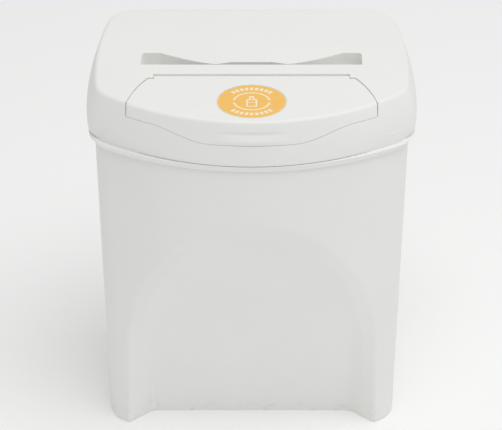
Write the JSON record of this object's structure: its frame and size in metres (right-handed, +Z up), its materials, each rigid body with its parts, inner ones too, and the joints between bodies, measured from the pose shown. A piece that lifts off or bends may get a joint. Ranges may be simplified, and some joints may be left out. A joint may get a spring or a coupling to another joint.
{
  "type": "stackable waste sorting bin",
  "caption": "White plastic waste-sorting bin with a bowed front, an arched scoop between its front legs, a rear-hinged lid and a lift-up flap over the mouth.",
  "frame": {"origin": "on the floor, under the middle of the bin's overall box", "axes": "+Z up, the front with the flap faces -Y, +X to the right of someone facing the front"},
  "size_m": [0.392, 0.295, 0.45],
  "materials": {
    "white_plastic": "satin moulded polypropylene",
    "grey_plastic": "satin moulded polypropylene",
    "pin_plastic": "smooth acetal",
    "orange_label": "printed film"
  },
  "bodies": {
    "bin": {"bin_body": "white_plastic", "bag_ring": "grey_plastic", "lid_hinge_pin_left": "pin_plastic", "lid_hinge_pin_right": "pin_plastic"},
    "lid": {"lid_frame": "white_plastic", "flap_hinge_pin_left": "pin_plastic", "flap_hinge_pin_right": "pin_plastic"},
    "flap": {"front_flap": "white_plastic", "sorting_label": "orange_label"}
  },
  "joints": [
    {"name": "lid_hinge", "type": "hinge", "parent": "bin", "child": "lid", "pos_m": [0, 0.1425, 0.3865], "axis": [-1, 0, 0], "range_deg": [0, 105]},
    {"name": "flap_hinge", "type": "hinge", "parent": "lid", "child": "flap", "pos_m": [0, -0.0315, 0.4446], "axis": [-1, 0, 0], "range_deg": [0, 94]}
  ]
}
